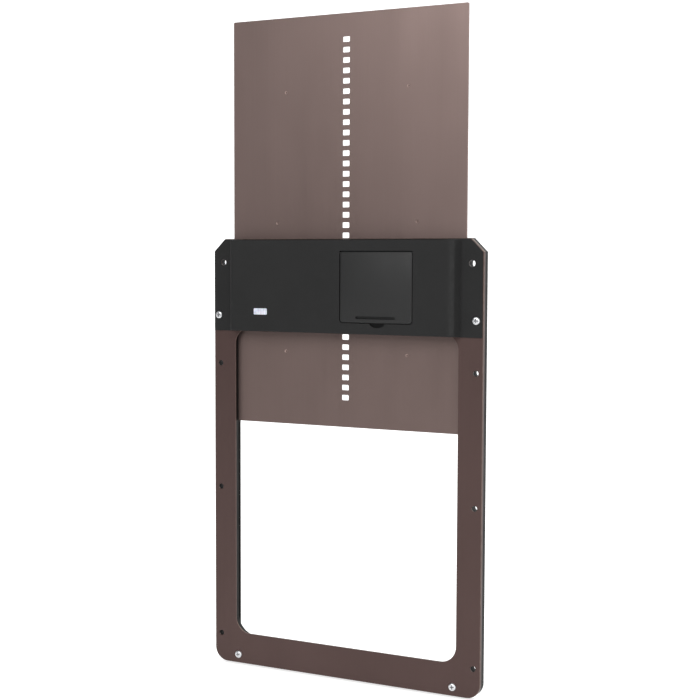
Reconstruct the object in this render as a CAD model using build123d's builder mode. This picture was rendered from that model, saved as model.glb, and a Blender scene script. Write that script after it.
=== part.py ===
from build123d import *
import math
import os

os.makedirs("parts", exist_ok=True)

# Automatic coop door: a sheet-aluminium front frame backed by black plastic guide rails, a lifting
# aluminium panel with a column of drive holes, and a black header that holds the gearmotor,
# the light sensor, the controller and four AA cells behind a hinged cover.
#
# Millimetres.  +X is to the right seen from outside the coop, +Z is up, and the front faces -Y.
# The rear face, which lies on the coop wall, is the plane Y = 0.  The origin is on that plane, at
# the centre of the four mounting holes around the doorway.

# ---- driving dimensions -------------------------------------------------------------------------
WIDTH = 262.0
HEIGHT = 390.0
DEPTH = 9.0  # rear face to the front of the sheet
CORNER_R = 12.5  # bottom corners of the frame
CLIP = 11.5  # clipped top corners of the frame

HOLE_X = 124.5
HOLE_HEIGHTS = (26.0, 163.0, 277.0)  # above the frame's bottom edge
HOLE_R = 2.5
FOOT = -(HOLE_HEIGHTS[0] + HOLE_HEIGHTS[-1]) / 2  # Z of the frame's bottom edge
HEADER_HOLE = (120.8, FOOT + 368.8)
HEADER_HOLE_R = 3.0
RAIL_TOP_HOLE = (121.5, FOOT + 368.8)  # wider than the header's and set outwards
RAIL_TOP_HOLE_R = 3.9
TOP = FOOT + HEIGHT

SHEET = 1.2
EDGE_RETURN = 3.3  # depth of the sheet's returned edge, front face included
DOORWAY_W = 217.6
DOORWAY_LOW = FOOT + 28.4
DOORWAY_HIGH = FOOT + 309.8
DOORWAY_R = 14.5
SERVICE_X = 104.0  # cut-out behind the header
SERVICE_LOW = FOOT + 316.0
SERVICE_HIGH = FOOT + 384.0

PANEL_W = 226.6
PANEL_H = 360.0
PANEL_T = 1.5
PANEL_FRONT = -3.5
PANEL_LOW = FOOT + 224.3  # bottom edge of the panel where it rests, three quarters open
RACK_PITCH = 8.9
RACK_COUNT = 36
RACK_FIRST = 22.4  # first drive hole below the panel's top edge
RACK_HOLE = (7.0, 4.8)

LIP_X = 109.0  # inner edge of the rails' front lip
REAR_LIP_X = 109.0
GROOVE_X = 114.0
GROOVE_FRONT = -3.7
GROOVE_REAR = -1.8
SILL_TOP = FOOT + 42.0  # where the sill's upstands meet the rails

FLANGE_X = 130.1
HEADER_LOW = FOOT + 307.0
FLANGE_T = 1.2
HOUSING_FRONT = -22.0
WALL = 2.0

COVER_X = (3.2, 72.2)  # opening for the battery cover
COVER_Z = (FOOT + 317.0, FOOT + 379.1)
COVER_GAP = 0.7
COVER_T = 1.8
HINGE_R = 0.6
FINGER_GROOVE = 1.2  # depth of the finger groove across the cover

SCREW_PLACES = ((125.0, FOOT + 321.1), (106.0, FOOT + 8.0))
BACK_COVER = (-5.3, -4.3)

TEETH = 5
SPROCKET_PITCH_R = TEETH * RACK_PITCH / (2 * math.pi)
AXLE_Y = PANEL_FRONT + PANEL_T / 2 - SPROCKET_PITCH_R
AXLE_Z = PANEL_LOW + PANEL_H - RACK_FIRST - 24 * RACK_PITCH  # level with the 25th drive hole
GEAR_CENTRES = 7.2
IDLER_Y = -12.3
IDLER_Z = AXLE_Z - math.sqrt(GEAR_CENTRES**2 - (IDLER_Y - AXLE_Y) ** 2)
GEAR_LINE = math.degrees(math.atan2(IDLER_Z - AXLE_Z, IDLER_Y - AXLE_Y))  # from axle to idler

CELL_R = 7.25
CELL_L = 50.5
CELL_XS = (11.9, 26.8, 41.7, 56.6)
CELL_Y = -12.7
TRAY_INNER_Z = (FOOT + 318.4, FOOT + 377.7)
BUTTON_X = 68.2
BUTTON_Z = FOOT + 332.0
PCB_Y = (-14.4, -12.8)
PCB_X = (-94.5, -46.0)
PCB_Z = (FOOT + 318.0, FOOT + 378.0)
WINDOW_X = -75.3
WINDOW_Z = FOOT + 325.4


# ---- shared shapes ------------------------------------------------------------------------------
def wall(y):
    """A sketch plane parallel to the wall at depth y, seen from the front; extruding goes forward."""
    return Plane(origin=(0, y, 0), x_dir=(1, 0, 0), z_dir=(0, -1, 0))


def across(x):
    """A sketch plane square to the X axis, drawn in (Y, Z); extruding goes towards +X."""
    return Plane(origin=(x, 0, 0), x_dir=(0, 1, 0), z_dir=(1, 0, 0))


def write(part, name):
    """Labels a finished piece and writes its STEP file."""
    part.label = name
    export_step(part, f"parts/{name}.step")


def outline(inset=0.0):
    """The frame's outline moved in by inset: round bottom corners and clipped top corners."""
    with BuildSketch() as shape:
        with Locations((0, (FOOT + TOP) / 2)):
            Rectangle(WIDTH - 2 * inset, HEIGHT - 2 * inset)
        fillet(shape.vertices().group_by(Axis.Y)[0], CORNER_R - inset)
        chamfer(shape.vertices().group_by(Axis.Y)[-1], CLIP - 0.6 * inset)
    return shape.sketch


def rectangle_between(xs, zs, radius=0.0, mode=Mode.ADD):
    """A rectangle in the current sketch from its limits, with round corners where a radius is given."""
    with Locations(((xs[0] + xs[1]) / 2, (zs[0] + zs[1]) / 2)):
        if radius:
            RectangleRounded(xs[1] - xs[0], zs[1] - zs[0], radius, mode=mode)
        else:
            Rectangle(xs[1] - xs[0], zs[1] - zs[0], mode=mode)


def both_sides(places):
    """Places and their mirror images in X."""
    return [(side * x, z) for side in (-1, 1) for x, z in places]


def mounting_holes(top_hole=HEADER_HOLE, top_radius=HEADER_HOLE_R, mode=Mode.SUBTRACT):
    """Six holes beside the doorway and the two at the top, in the current sketch."""
    with Locations(*both_sides([(HOLE_X, FOOT + height) for height in HOLE_HEIGHTS])):
        Circle(HOLE_R, mode=mode)
    with Locations(*both_sides([top_hole])):
        Circle(top_radius, mode=mode)


def pan_screws(places, seat_y, head_r, head_h, shank_r, length):
    """Pan-head cross-recess screws driven backwards from seat_y, one solid at each (x, z)."""
    with BuildPart() as screws:
        with BuildSketch(wall(seat_y)):
            with Locations(*places):
                Circle(head_r)
        extrude(amount=head_h)
        fillet(screws.edges().filter_by(GeomType.CIRCLE).group_by(Axis.Y)[0], 0.6 * head_h)
        with BuildSketch(wall(seat_y)):
            with Locations(*places):
                Circle(shank_r)
        extrude(amount=-length)
        with BuildSketch(wall(seat_y - head_h)):
            with Locations(*places):
                Rectangle(head_r, 0.22 * head_r)
                Rectangle(0.22 * head_r, head_r)
        extrude(amount=-0.55 * head_h, mode=Mode.SUBTRACT)
    return screws.part


def flat_screws(places, face_y, head_r, shank_r, length):
    """Countersunk screws driven forwards from a rear face at face_y, one solid at each (x, z)."""
    with BuildPart() as screws:
        with BuildSketch(wall(face_y)):
            with Locations(*places):
                Circle(head_r)
        extrude(amount=head_r - shank_r, taper=45)
        with BuildSketch(wall(face_y)):
            with Locations(*places):
                Circle(shank_r)
        extrude(amount=length)
        with BuildSketch(wall(face_y)):
            with Locations(*places):
                Rectangle(head_r, 0.24 * head_r)
                Rectangle(0.24 * head_r, head_r)
        extrude(amount=0.5, mode=Mode.SUBTRACT)
    return screws.part


# ---- front frame: one aluminium sheet with a returned edge --------------------------------------
frame_outline = outline()
with BuildPart() as front_frame:
    with BuildSketch(wall(-DEPTH + SHEET)):
        add(frame_outline)
        rectangle_between(
            (-DOORWAY_W / 2, DOORWAY_W / 2), (DOORWAY_LOW, DOORWAY_HIGH), DOORWAY_R, Mode.SUBTRACT
        )
        rectangle_between((-SERVICE_X, SERVICE_X), (SERVICE_LOW, SERVICE_HIGH), 4, Mode.SUBTRACT)
        mounting_holes()
        with Locations(*both_sides(SCREW_PLACES)):
            Circle(1.7, mode=Mode.SUBTRACT)
    extrude(amount=SHEET)
    with BuildSketch(wall(-DEPTH + EDGE_RETURN)):
        add(frame_outline)
        add(outline(SHEET), mode=Mode.SUBTRACT)
    extrude(amount=EDGE_RETURN - SHEET)
    fillet(front_frame.faces().sort_by(Axis.Y)[0].outer_wire().edges(), 0.7)
    doorway_rim = front_frame.faces().sort_by(Axis.Y)[0].inner_wires().sort_by(SortBy.LENGTH)[-1]
    fillet(doorway_rim.edges(), 0.3)
write(front_frame.part, "front_frame")

# ---- guide rails: black plastic, grooved for the panel, behind each side of the frame -------------
RAIL_LAYERS = (
    # rear Y, front Y, inner edge X, inset from the frame's outline
    (0.0, GROOVE_REAR, REAR_LIP_X, 0.0),
    (GROOVE_REAR, GROOVE_FRONT, GROOVE_X, 0.0),
    (GROOVE_FRONT, -DEPTH + EDGE_RETURN, LIP_X, 0.0),
    (-DEPTH + EDGE_RETURN, -DEPTH + SHEET, LIP_X, SHEET + 0.1),
)
BRIDGE_Z = (AXLE_Z - 16, AXLE_Z + 16)
BRIDGE_X = 121.0
BRIDGE_T = 1.5
BRIDGE_SCREWS = ((118.0, AXLE_Z - 10), (118.0, AXLE_Z + 10))

with BuildPart() as right_guide_rail:
    for rear_y, front_y, inner_x, inset in RAIL_LAYERS:
        layer_outline = outline(inset)
        with BuildSketch(wall(rear_y)):
            add(layer_outline)
            rectangle_between((inner_x, WIDTH), (SILL_TOP + 0.1, TOP), mode=Mode.INTERSECT)
            mounting_holes(RAIL_TOP_HOLE, RAIL_TOP_HOLE_R)
            with Locations(SCREW_PLACES[0], *(BRIDGE_SCREWS if rear_y == 0 else ())):
                Circle(1.5, mode=Mode.SUBTRACT)
        extrude(amount=rear_y - front_y)
    with BuildSketch(wall(0)):
        rectangle_between((0, BRIDGE_X + 0.1), (BRIDGE_Z[0] - 0.1, BRIDGE_Z[1] + 0.1))
    extrude(amount=GROOVE_REAR * -1, mode=Mode.SUBTRACT)
    with BuildSketch(wall(GROOVE_REAR)):
        with Locations(*BRIDGE_SCREWS):
            Circle(1.1)
    extrude(amount=4.0, mode=Mode.SUBTRACT)
write(right_guide_rail.part, "right_guide_rail")

with BuildPart() as left_guide_rail:
    mirror(right_guide_rail.part, about=Plane.YZ)
write(left_guide_rail.part, "left_guide_rail")

# ---- bottom sill: joins the rails and takes the panel's bottom edge in a slot ---------------------
with BuildPart() as bottom_sill:
    for rear_y, front_y, inner_x, inset in RAIL_LAYERS:
        in_groove = rear_y == GROOVE_REAR
        floor_z = FOOT + (19.5 if in_groove else 23.0 if rear_y == 0 else 25.8)
        layer_outline = outline(inset)
        with BuildSketch(wall(rear_y)):
            add(layer_outline)
            rectangle_between((-WIDTH, WIDTH), (FOOT, SILL_TOP), mode=Mode.INTERSECT)
            corner = 2.0 if in_groove or rear_y == 0 else 19.0
            rectangle_between(
                (-inner_x, inner_x), (floor_z, SILL_TOP + 40), corner, Mode.SUBTRACT
            )
            mounting_holes()
            with Locations(*both_sides(SCREW_PLACES[1:])):
                Circle(1.5, mode=Mode.SUBTRACT)
        extrude(amount=rear_y - front_y)
write(bottom_sill.part, "bottom_sill")

# ---- rear bridge: backs the panel behind the sprocket --------------------------------------------
with BuildPart() as rear_bridge:
    with BuildSketch(wall(0)):
        rectangle_between((-BRIDGE_X, BRIDGE_X), BRIDGE_Z, 2)
        rectangle_between((-3.5, 3.5), (AXLE_Z - 11, AXLE_Z + 11), 2, Mode.SUBTRACT)
        with Locations(*both_sides(BRIDGE_SCREWS)):
            Circle(1.1, mode=Mode.SUBTRACT)
    extrude(amount=BRIDGE_T)
    with BuildSketch(wall(0)):
        with Locations(*both_sides(BRIDGE_SCREWS)):
            Circle(2.15)
    extrude(amount=1.05, taper=45, mode=Mode.SUBTRACT)
write(rear_bridge.part, "rear_bridge")
write(flat_screws(both_sides(BRIDGE_SCREWS), -0.02, 2.05, 1.0, 4.6), "bridge_screws")

# ---- lifting panel: aluminium sheet with a column of drive holes and six pressed dimples ----------
PANEL_CENTRE_Z = PANEL_LOW + PANEL_H / 2
PANEL_HIGH = PANEL_LOW + PANEL_H
DIMPLES = both_sides(
    ((59.3, PANEL_LOW + 294.7), (59.3, PANEL_LOW + 65.2), (68.0, PANEL_LOW + 179.7))
)
with BuildPart() as door_panel:
    with BuildSketch(wall(PANEL_FRONT + PANEL_T)):
        rectangle_between((-PANEL_W / 2, PANEL_W / 2), (PANEL_LOW, PANEL_HIGH), 1.2)
        rack_middle = PANEL_HIGH - RACK_FIRST - (RACK_COUNT - 1) * RACK_PITCH / 2
        with Locations((0, rack_middle)):
            with GridLocations(0, RACK_PITCH, 1, RACK_COUNT):
                RectangleRounded(*RACK_HOLE, 0.8, mode=Mode.SUBTRACT)
    extrude(amount=PANEL_T)
    chamfer(door_panel.faces().sort_by(Axis.Y)[0].outer_wire().edges(), 0.15)
    with BuildSketch(wall(PANEL_FRONT)):
        with Locations(*DIMPLES):
            Circle(1.5)
    extrude(amount=-0.5, taper=55, mode=Mode.SUBTRACT)
write(door_panel.part, "door_panel")

# ---- header housing: moulded shell with side flanges ---------------------------------------------
HOUSING_BASE = ((-111.0, 111.0), (HEADER_LOW, TOP - 0.5))
HOUSING_FACE = ((-107.5, 107.5), (HEADER_LOW + 0.8, TOP - 1.3))
HOLLOW_BASE = ((-109.0, 109.0), (HEADER_LOW + 2.0, TOP - 2.5))
HOLLOW_FACE = ((-105.5, 105.5), (HEADER_LOW + 2.8, TOP - 3.3))
BACK_SCREWS = ((98.0, FOOT + 321.0), (98.0, FOOT + 379.0))
TRAY_SCREWS = ((20.0, FOOT + 313.3), (56.0, FOOT + 313.3), (20.0, FOOT + 383.0), (56.0, FOOT + 383.0))
PCB_SCREWS = tuple((x, z) for x in (-90.5, -50.0) for z in (FOOT + 322.0, FOOT + 374.0))
BRACKET_SCREWS = ((-21.0, IDLER_Z - 10.5), (-21.0, IDLER_Z + 10.5))
HOUSING_IN = HOUSING_FRONT + WALL
BOSSES = (
    # places, rear end Y, outer radius, pilot radius
    (both_sides(BACK_SCREWS), BACK_COVER[0], 3.0, 1.1),
    (TRAY_SCREWS, -12.0, 2.6, 1.1),
    (PCB_SCREWS, PCB_Y[0], 2.4, 0.9),
    (BRACKET_SCREWS, -18.0, 2.6, 1.1),
)
HINGE_Y = HOUSING_FRONT + COVER_T / 2
HINGE_Z = COVER_Z[1] - COVER_GAP - COVER_T / 2
NOTCH_X = 39.2
COVER_MIDDLE = (COVER_X[0] + COVER_X[1]) / 2

with BuildPart() as header_housing:
    with BuildSketch(wall(-DEPTH)):
        add(outline(0.5))
        rectangle_between((-FLANGE_X, FLANGE_X), (HEADER_LOW, TOP), mode=Mode.INTERSECT)
    extrude(amount=FLANGE_T)
    with BuildSketch(wall(-DEPTH - FLANGE_T / 2)):
        rectangle_between(*HOUSING_BASE)
    with BuildSketch(wall(HOUSING_FRONT)):
        rectangle_between(*HOUSING_FACE)
    loft()
    face_rim = header_housing.faces().sort_by(Axis.Y)[0].outer_wire().edges()
    fillet(face_rim.filter_by(Axis.Z), 6.0)
    fillet(header_housing.faces().sort_by(Axis.Y)[0].outer_wire().edges().filter_by(Axis.X), 1.0)
    with BuildSketch(wall(-DEPTH)):
        rectangle_between(*HOLLOW_BASE)
    with BuildSketch(wall(HOUSING_IN)):
        rectangle_between(*HOLLOW_FACE)
    loft(mode=Mode.SUBTRACT)
    for places, rear_end, boss_r, pilot_r in BOSSES:
        with BuildSketch(wall(rear_end)):
            with Locations(*places):
                Circle(boss_r)
                Circle(pilot_r, mode=Mode.SUBTRACT)
        extrude(amount=rear_end - HOUSING_IN)
    # openings in the front wall: battery cover, sensor window, thumb notch and hinge sockets
    with BuildSketch(wall(HOUSING_IN)):
        # the corners beside the hinge are nearly square, so that the turning cover clears them
        rectangle_between(COVER_X, (COVER_Z[0] + 20, COVER_Z[1]), 1.0)
        rectangle_between(COVER_X, (COVER_Z[0], COVER_Z[1] - 20), 3.1)
        with Locations((WINDOW_X, WINDOW_Z)):
            RectangleRounded(13.5, 5.6, 1.0)
    extrude(amount=WALL, mode=Mode.SUBTRACT)
    with BuildSketch(wall(HOUSING_FRONT)):
        with Locations((NOTCH_X, COVER_Z[0])):
            Ellipse(7.0, 3.5)
    extrude(amount=-1.8, mode=Mode.SUBTRACT)
    with BuildSketch(across(COVER_X[0] - 1.8)):
        with Locations((HINGE_Y, HINGE_Z)):
            Circle(HINGE_R + 0.06)
    extrude(amount=COVER_X[1] - COVER_X[0] + 3.6, mode=Mode.SUBTRACT)
    with BuildSketch(across(COVER_MIDDLE - 6.5)):
        with Locations((HINGE_Y, COVER_Z[0])):
            Circle(0.5)
    extrude(amount=13, mode=Mode.SUBTRACT)
    with BuildSketch(wall(-DEPTH)):
        mounting_holes(mode=Mode.ADD)
        with Locations(*both_sides(SCREW_PLACES)):
            Circle(1.7)
    extrude(amount=FLANGE_T, mode=Mode.SUBTRACT)
write(header_housing.part, "header_housing")

# ---- battery cover: hinged at its top edge, with a finger groove and a snap bead -------------------
with BuildPart() as battery_cover:
    leaf_x = (COVER_X[0] + COVER_GAP, COVER_X[1] - COVER_GAP)
    leaf_z = (COVER_Z[0] + COVER_GAP, COVER_Z[1] - COVER_GAP)
    with BuildSketch(wall(HOUSING_FRONT + COVER_T)):
        rectangle_between(leaf_x, leaf_z, 2.6)
    extrude(amount=COVER_T)
    chamfer(battery_cover.faces().sort_by(Axis.Y)[0].outer_wire().edges(), 0.3, 1.3)
    with BuildSketch(wall(HOUSING_FRONT)):
        rectangle_between((18.9, 56.1), (FOOT + 320.8, FOOT + 323.2), 1.1)
    extrude(amount=-FINGER_GROOVE, mode=Mode.SUBTRACT)
    # the top edge is a half round about the hinge line, so that it turns inside its gap
    with BuildSketch(across(leaf_x[0])):
        rectangle_between((HINGE_Y - 2, HINGE_Y + 2), (HINGE_Z, HINGE_Z + 2))
        with Locations((HINGE_Y, HINGE_Z)):
            Circle(COVER_T / 2, mode=Mode.SUBTRACT)
    extrude(amount=leaf_x[1] - leaf_x[0], mode=Mode.SUBTRACT)
    with BuildSketch(across(leaf_x[0] - 1.5)):
        with Locations((HINGE_Y, HINGE_Z)):
            Circle(HINGE_R)
    extrude(amount=leaf_x[1] - leaf_x[0] + 3.0)
    with BuildSketch(across(COVER_MIDDLE - 6)):
        with Locations((HINGE_Y, leaf_z[0] + 0.3)):
            Circle(0.6)
    extrude(amount=12)
write(battery_cover.part, "battery_cover")

# ---- sensor window: a clouded lens plug with a rim behind the wall -------------------------------
with BuildPart() as sensor_window:
    with BuildSketch(wall(HOUSING_IN)):
        with Locations((WINDOW_X, WINDOW_Z)):
            RectangleRounded(13.4, 5.5, 0.95)
    extrude(amount=WALL + 0.15)
    with BuildSketch(wall(HOUSING_IN + 0.6)):
        with Locations((WINDOW_X, WINDOW_Z)):
            RectangleRounded(16.5, 8.0, 1.5)
    extrude(amount=0.6)
write(sensor_window.part, "sensor_window")

# ---- housing back cover --------------------------------------------------------------------------
DRIVE_WINDOW = ((-14.0, 2.9), (AXLE_Z - 15, AXLE_Z + 9.5))
TRAY_OUTER = ((3.4, 72.0), (FOOT + 317.2, FOOT + 378.9))
with BuildPart() as housing_back_cover:
    with BuildSketch(wall(BACK_COVER[1])):
        rectangle_between((-103.0, 103.0), (FOOT + 317.0, FOOT + 383.0), 3)
        rectangle_between(*DRIVE_WINDOW, mode=Mode.SUBTRACT)
        rectangle_between(
            (TRAY_OUTER[0][0] - 0.3, TRAY_OUTER[0][1] + 0.3),
            (TRAY_OUTER[1][0] + 3, TRAY_OUTER[1][1] - 3),
            mode=Mode.SUBTRACT,
        )
        with Locations(*both_sides(BACK_SCREWS)):
            Circle(1.3, mode=Mode.SUBTRACT)
    extrude(amount=BACK_COVER[1] - BACK_COVER[0])
write(housing_back_cover.part, "housing_back_cover")


# ---- battery tray and what it holds ---------------------------------------------------------------
TRAY_FLOOR = (-5.4, -4.4)
TRAY_RIM_Y = -19.8
TRAY_WALL = 1.2
with BuildPart() as battery_tray:
    with BuildSketch(wall(TRAY_FLOOR[0])):
        rectangle_between(*TRAY_OUTER, 2.0)
    extrude(amount=TRAY_FLOOR[0] - TRAY_RIM_Y)
    with BuildSketch(wall(TRAY_FLOOR[1])):
        rectangle_between(TRAY_OUTER[0], (TRAY_OUTER[1][0] + 3.2, TRAY_OUTER[1][1] - 3.2))
    extrude(amount=TRAY_FLOOR[1] - TRAY_FLOOR[0])
    with BuildSketch(wall(TRAY_FLOOR[0])):
        rectangle_between(
            (TRAY_OUTER[0][0] + TRAY_WALL, TRAY_OUTER[0][1] - TRAY_WALL), TRAY_INNER_Z, 0.8
        )
    extrude(amount=TRAY_FLOOR[0] - TRAY_RIM_Y, mode=Mode.SUBTRACT)
    # thin webs beyond the ends of the floor close the box where it passes the back cover
    for end in (TRAY_OUTER[1][0], TRAY_OUTER[1][1] - 3.4):
        with BuildSketch(wall(TRAY_FLOOR[0] + 0.05)):
            rectangle_between((TRAY_OUTER[0][0] + 2, TRAY_OUTER[0][1] - 2), (end, end + 3.4))
        extrude(amount=0.1)
    # ribs between the cells, and the wall beside the mode button
    for left, right in zip(CELL_XS, CELL_XS[1:]):
        middle = (left + right) / 2
        with BuildSketch(wall(TRAY_FLOOR[0])):
            rectangle_between((middle - 0.4, middle + 0.4), (FOOT + 328.0, FOOT + 368.0))
        extrude(amount=3.0)
    with BuildSketch(wall(TRAY_FLOOR[0])):
        rectangle_between((64.2, 65.0), TRAY_INNER_Z)
    extrude(amount=11.0)
    with BuildSketch(wall(-10.2)):
        with Locations(*TRAY_SCREWS):
            Circle(2.6)
        for screw_x, screw_z in TRAY_SCREWS:
            tray_edge = TRAY_OUTER[1][0] + 0.5 if screw_z < AXLE_Z else TRAY_OUTER[1][1] - 0.5
            rectangle_between((screw_x - 2.6, screw_x + 2.6), sorted((screw_z, tray_edge)))
        with Locations(*TRAY_SCREWS):
            Circle(1.3, mode=Mode.SUBTRACT)
        rectangle_between(
            (TRAY_OUTER[0][0] + TRAY_WALL, TRAY_OUTER[0][1] - TRAY_WALL),
            TRAY_INNER_Z,
            mode=Mode.SUBTRACT,
        )
    extrude(amount=1.8)
write(battery_tray.part, "battery_tray")

with BuildPart() as cover_gasket:
    with BuildSketch(wall(TRAY_RIM_Y - 0.05)):
        rectangle_between((3.8, 71.6), (FOOT + 317.6, FOOT + 377.0), 3.0)
        rectangle_between((4.9, 70.5), (FOOT + 318.7, FOOT + 376.0), 2.0, Mode.SUBTRACT)
    extrude(amount=0.3)
write(cover_gasket.part, "cover_gasket")

PLATE_T = 0.4
LOW_PLATE = (TRAY_INNER_Z[0] + 0.1, TRAY_INNER_Z[0] + 0.1 + PLATE_T)
HIGH_PLATE = (TRAY_INNER_Z[1] - 0.1 - PLATE_T, TRAY_INNER_Z[1] - 0.1)
NUB_H = 1.3
SPRING_GAP = HIGH_PLATE[0] - LOW_PLATE[1] - CELL_L

for number, cell_x in enumerate(CELL_XS, start=1):
    nub_up = number % 2 == 1
    low_z = LOW_PLATE[1] + (SPRING_GAP - 0.05 if nub_up else 0.05 + NUB_H)
    with BuildPart() as battery_cell:
        with BuildSketch(Plane.XY.offset(low_z)):
            with Locations((cell_x, CELL_Y)):
                Circle(CELL_R)
        extrude(amount=CELL_L - NUB_H)
        fillet(battery_cell.edges().filter_by(GeomType.CIRCLE), 0.6)
        with BuildSketch(Plane.XY.offset(low_z + (CELL_L - NUB_H if nub_up else 0))):
            with Locations((cell_x, CELL_Y)):
                Circle(2.7)
        extrude(amount=NUB_H if nub_up else -NUB_H)
    write(battery_cell.part, f"battery_cell_{number}")

with BuildPart() as contact_springs:
    for number, cell_x in enumerate(CELL_XS, start=1):
        base_z = LOW_PLATE[1] + 0.05 if number % 2 else HIGH_PLATE[0] - SPRING_GAP + 0.1
        with BuildSketch(Plane.XY.offset(base_z)):
            with Locations((cell_x, CELL_Y)):
                Circle(4.6)
                Circle(3.8, mode=Mode.SUBTRACT)
        extrude(amount=SPRING_GAP - 0.15)
write(contact_springs.part, "contact_springs")

with BuildPart() as contact_plates:
    low_spans = ((CELL_XS[0] - 6, CELL_XS[1] + 6), (CELL_XS[2] - 6, CELL_XS[3] + 6))
    high_spans = (
        (CELL_XS[0] - 6, CELL_XS[0] + 6),
        (CELL_XS[1] - 6, CELL_XS[2] + 6),
        (CELL_XS[3] - 6, CELL_XS[3] + 6),
    )
    for spans, zs in ((low_spans, LOW_PLATE), (high_spans, HIGH_PLATE)):
        with BuildSketch(Plane.XY.offset(zs[0])):
            for span in spans:
                rectangle_between(span, (CELL_Y - 5, CELL_Y + 5), 1)
        extrude(amount=PLATE_T)
write(contact_plates.part, "contact_plates")

# ---- mode button: a small push button beside the cells ---------------------------------------------
with BuildPart() as mode_switch:
    with BuildSketch(wall(-5.5)):
        with Locations((BUTTON_X, BUTTON_Z)):
            RectangleRounded(4.8, 6.0, 0.5)
    extrude(amount=2.9)
    with BuildSketch(wall(-8.4)):
        with Locations((BUTTON_X, BUTTON_Z)):
            Circle(2.2)
            Circle(1.55, mode=Mode.SUBTRACT)
    extrude(amount=1.6)
write(mode_switch.part, "mode_switch")

with BuildPart() as mode_button:
    with BuildSketch(wall(-8.9)):
        with Locations((BUTTON_X, BUTTON_Z)):
            Circle(1.5)
    extrude(amount=7.1)
    with BuildSketch(wall(-11.0)):
        with Locations((BUTTON_X, BUTTON_Z)):
            Circle(2.3)
    extrude(amount=5.0)
    fillet(mode_button.edges().filter_by(GeomType.CIRCLE).group_by(Axis.Y)[0], 0.5)
write(mode_button.part, "mode_button")

# ---- controller board --------------------------------------------------------------------------------
with BuildPart() as circuit_board:
    with BuildSketch(wall(PCB_Y[1])):
        rectangle_between(PCB_X, PCB_Z, 1.5)
        with Locations(*PCB_SCREWS):
            Circle(1.1, mode=Mode.SUBTRACT)
    extrude(amount=PCB_Y[1] - PCB_Y[0])
write(circuit_board.part, "circuit_board")

# parts on the rear face of the board: (name, x limits, z limits above the foot, height)
BOARD_PARTS = (
    ("control_chip", (-82.0, -72.0), (346.0, 353.0), 1.6),
    ("motor_driver_chip", (-66.0, -60.0), (340.0, 345.0), 1.5),
    ("motor_socket", (-57.0, -49.0), (337.2, 345.8), 5.4),
    ("battery_socket", (-57.0, -49.0), (359.0, 367.6), 5.4),
)
for part_name, part_x, part_z, part_h in BOARD_PARTS:
    with BuildPart() as board_part:
        with BuildSketch(wall(PCB_Y[1] + part_h + 0.05)):
            rectangle_between(part_x, (FOOT + part_z[0], FOOT + part_z[1]))
        extrude(amount=part_h)
        chamfer(board_part.edges().group_by(Axis.Y)[-1], 0.3)
    write(board_part.part, part_name)

with BuildPart() as capacitor:
    with BuildSketch(across(-88.0)):
        with Locations((PCB_Y[1] + 3.1, FOOT + 362.0)):
            Circle(3.0)
    extrude(amount=11.0)
    fillet(capacitor.edges().filter_by(GeomType.CIRCLE), 0.5)
write(capacitor.part, "capacitor")

for lamp_name, lamp_x in (("light_sensor", WINDOW_X - 3.2), ("status_led", WINDOW_X + 3.2)):
    with BuildPart() as lamp:
        with BuildSketch(wall(PCB_Y[0] - 0.05)):
            with Locations((lamp_x, WINDOW_Z)):
                Circle(1.9)
        extrude(amount=0.8)
        with BuildSketch(wall(PCB_Y[0] - 0.5)):
            with Locations((lamp_x, WINDOW_Z)):
                Circle(1.5)
        extrude(amount=4.0)
        fillet(lamp.edges().filter_by(GeomType.CIRCLE).group_by(Axis.Y)[0], 1.4)
    write(lamp.part, lamp_name)

# ---- gearmotor ----------------------------------------------------------------------------------------
LEFT_PLATE_X = (-13.2, -12.2)
RIGHT_PLATE_X = (-5.0, -4.2)
PLATE_Y = (-18.4, -4.5)
PLATE_Z = (AXLE_Z - 14.3, AXLE_Z + 7.7)
POST_PLACES = (
    (-17.2, AXLE_Z + 5.7),
    (-5.7, AXLE_Z + 6.1),
    (-17.2, AXLE_Z - 12.7),
    (-5.9, AXLE_Z - 12.4),
)
POST_R = 0.95
TAIL_R = 0.75  # thin tail of the output shaft, gear pin and motor shaft
SHAFT_R = 1.5
WHEEL = (27, 4.9, 5.65, 0.34, 0.12)  # teeth, root radius, tip radius, half widths at root and tip
PINION = (9, 1.35, 2.15, 0.36, 0.12)
MOTOR_X = (-28.5, -13.3)


def toothed(shape, turn):
    """Adds a straight-flanked gear to the current sketch; turn is the angle of one tooth's middle."""
    teeth, root_r, tip_r, half_root, half_tip = shape
    corners = []
    for tooth in range(teeth):
        middle = math.radians(turn + 360 * tooth / teeth)
        flank = ((root_r, -half_root), (tip_r, -half_tip), (tip_r, half_tip), (root_r, half_root))
        for radius, half_width in flank:
            angle = middle + half_width / radius
            corners.append((radius * math.cos(angle), radius * math.sin(angle)))
    Polygon(*corners, align=None)


def gear_slice(shape, turn, centre, x_from, x_to, bore_r):
    """One gear between two X positions on the axle line through centre, with a bore."""
    with BuildSketch(across(x_from)) as section:
        with Locations(centre):
            toothed(shape, turn)
            Circle(bore_r, mode=Mode.SUBTRACT)
    extrude(section.sketch, amount=x_to - x_from)


def rod(x_from, x_to, centre, radius):
    """A plain round rod along X between two positions."""
    with BuildSketch(across(x_from)) as section:
        with Locations(centre):
            Circle(radius)
    extrude(section.sketch, amount=x_to - x_from)


AXLE = (AXLE_Y, AXLE_Z)
IDLER = (IDLER_Y, IDLER_Z)
TOOTH_ON_LINE = GEAR_LINE  # gears on the output axle point a tooth at the idler axle
WHEEL_GAP_ON_LINE = GEAR_LINE + 180 + 180 / WHEEL[0]  # gears on the idler axle face it with a gap
PINION_GAP_ON_LINE = GEAR_LINE + 180 + 180 / PINION[0]

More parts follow.
